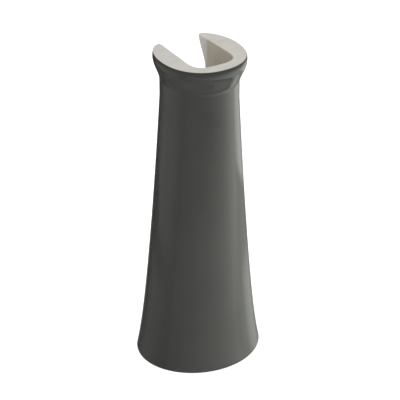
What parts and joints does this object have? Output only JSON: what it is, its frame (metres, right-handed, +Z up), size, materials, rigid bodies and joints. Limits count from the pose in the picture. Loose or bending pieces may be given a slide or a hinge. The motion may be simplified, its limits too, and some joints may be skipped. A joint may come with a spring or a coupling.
{
  "type": "sink pedestal",
  "caption": "Free-standing glazed china column with an open back, a flared collar with a flat rim for a basin, a wide foot and a floor screw.",
  "frame": {"origin": "on the floor, under the middle of the part's bounding box; the rim's own axis stands 14.2 mm behind it at x = 0, y = 0.0142", "axes": "+X to the right seen from the front, +Y to the open back (the wall side), +Z up; the front faces -Y"},
  "size_m": [0.2758, 0.204, 0.7],
  "materials": {
    "glazed_china": "glossy dark warm-grey glaze; the flat rim is unglazed off-white clay and the channel is thinly coated taupe",
    "nylon": "off-white, satin",
    "rubber": "black, dull",
    "zinc_steel": "bright zinc plate"
  },
  "bodies": {
    "pedestal": {"pedestal_shell": "glazed_china", "screw_sleeve": "nylon"},
    "washers": {"steel_washer": "zinc_steel", "rubber_washer": "rubber"},
    "screw": {"floor_screw": "zinc_steel"}
  },
  "joints": [
    {"name": "fixing_lower", "type": "slide", "parent": "pedestal", "child": "washers", "axis": [0, 0, -1], "range_m": [0, 0.0501]},
    {"name": "screw_turn", "type": "hinge", "parent": "washers", "child": "screw", "pos_m": [0, 0.0647, 0.0765], "axis": [0, 0, -1], "range_deg": [0, 4971]}
  ],
  "couplings": [
    {"joint": "screw_turn", "follows": "fixing_lower", "rad_per_m": 1731.4}
  ]
}
